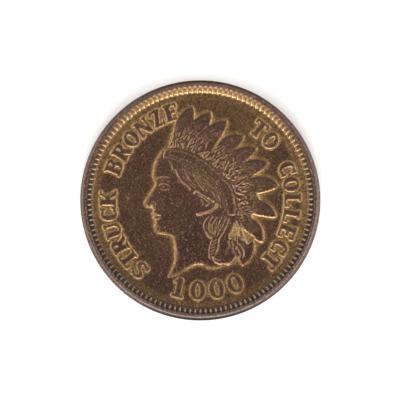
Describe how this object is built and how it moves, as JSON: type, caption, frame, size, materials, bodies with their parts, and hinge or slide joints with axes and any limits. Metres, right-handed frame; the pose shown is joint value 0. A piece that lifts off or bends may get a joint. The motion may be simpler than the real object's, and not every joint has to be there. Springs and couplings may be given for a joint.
{
  "type": "coin",
  "caption": "Struck bronze collector's coin with raised rims, denticles, a portrait in a feather headdress, and a wreath on the back.",
  "frame": {"origin": "centre of the plane of the lower rim, where the coin rests on its back", "axes": "+Z out of the portrait side along the coin's axis, +Y towards the top of the portrait, +X to the right as the portrait is seen"},
  "size_m": [0.019, 0.019, 0.0015],
  "materials": {
    "patinated_bronze": "brown patina, worn smooth on the high points, golden in the recesses"
  },
  "bodies": {
    "root": {"coin": "patinated_bronze"}
  },
  "joints": []
}
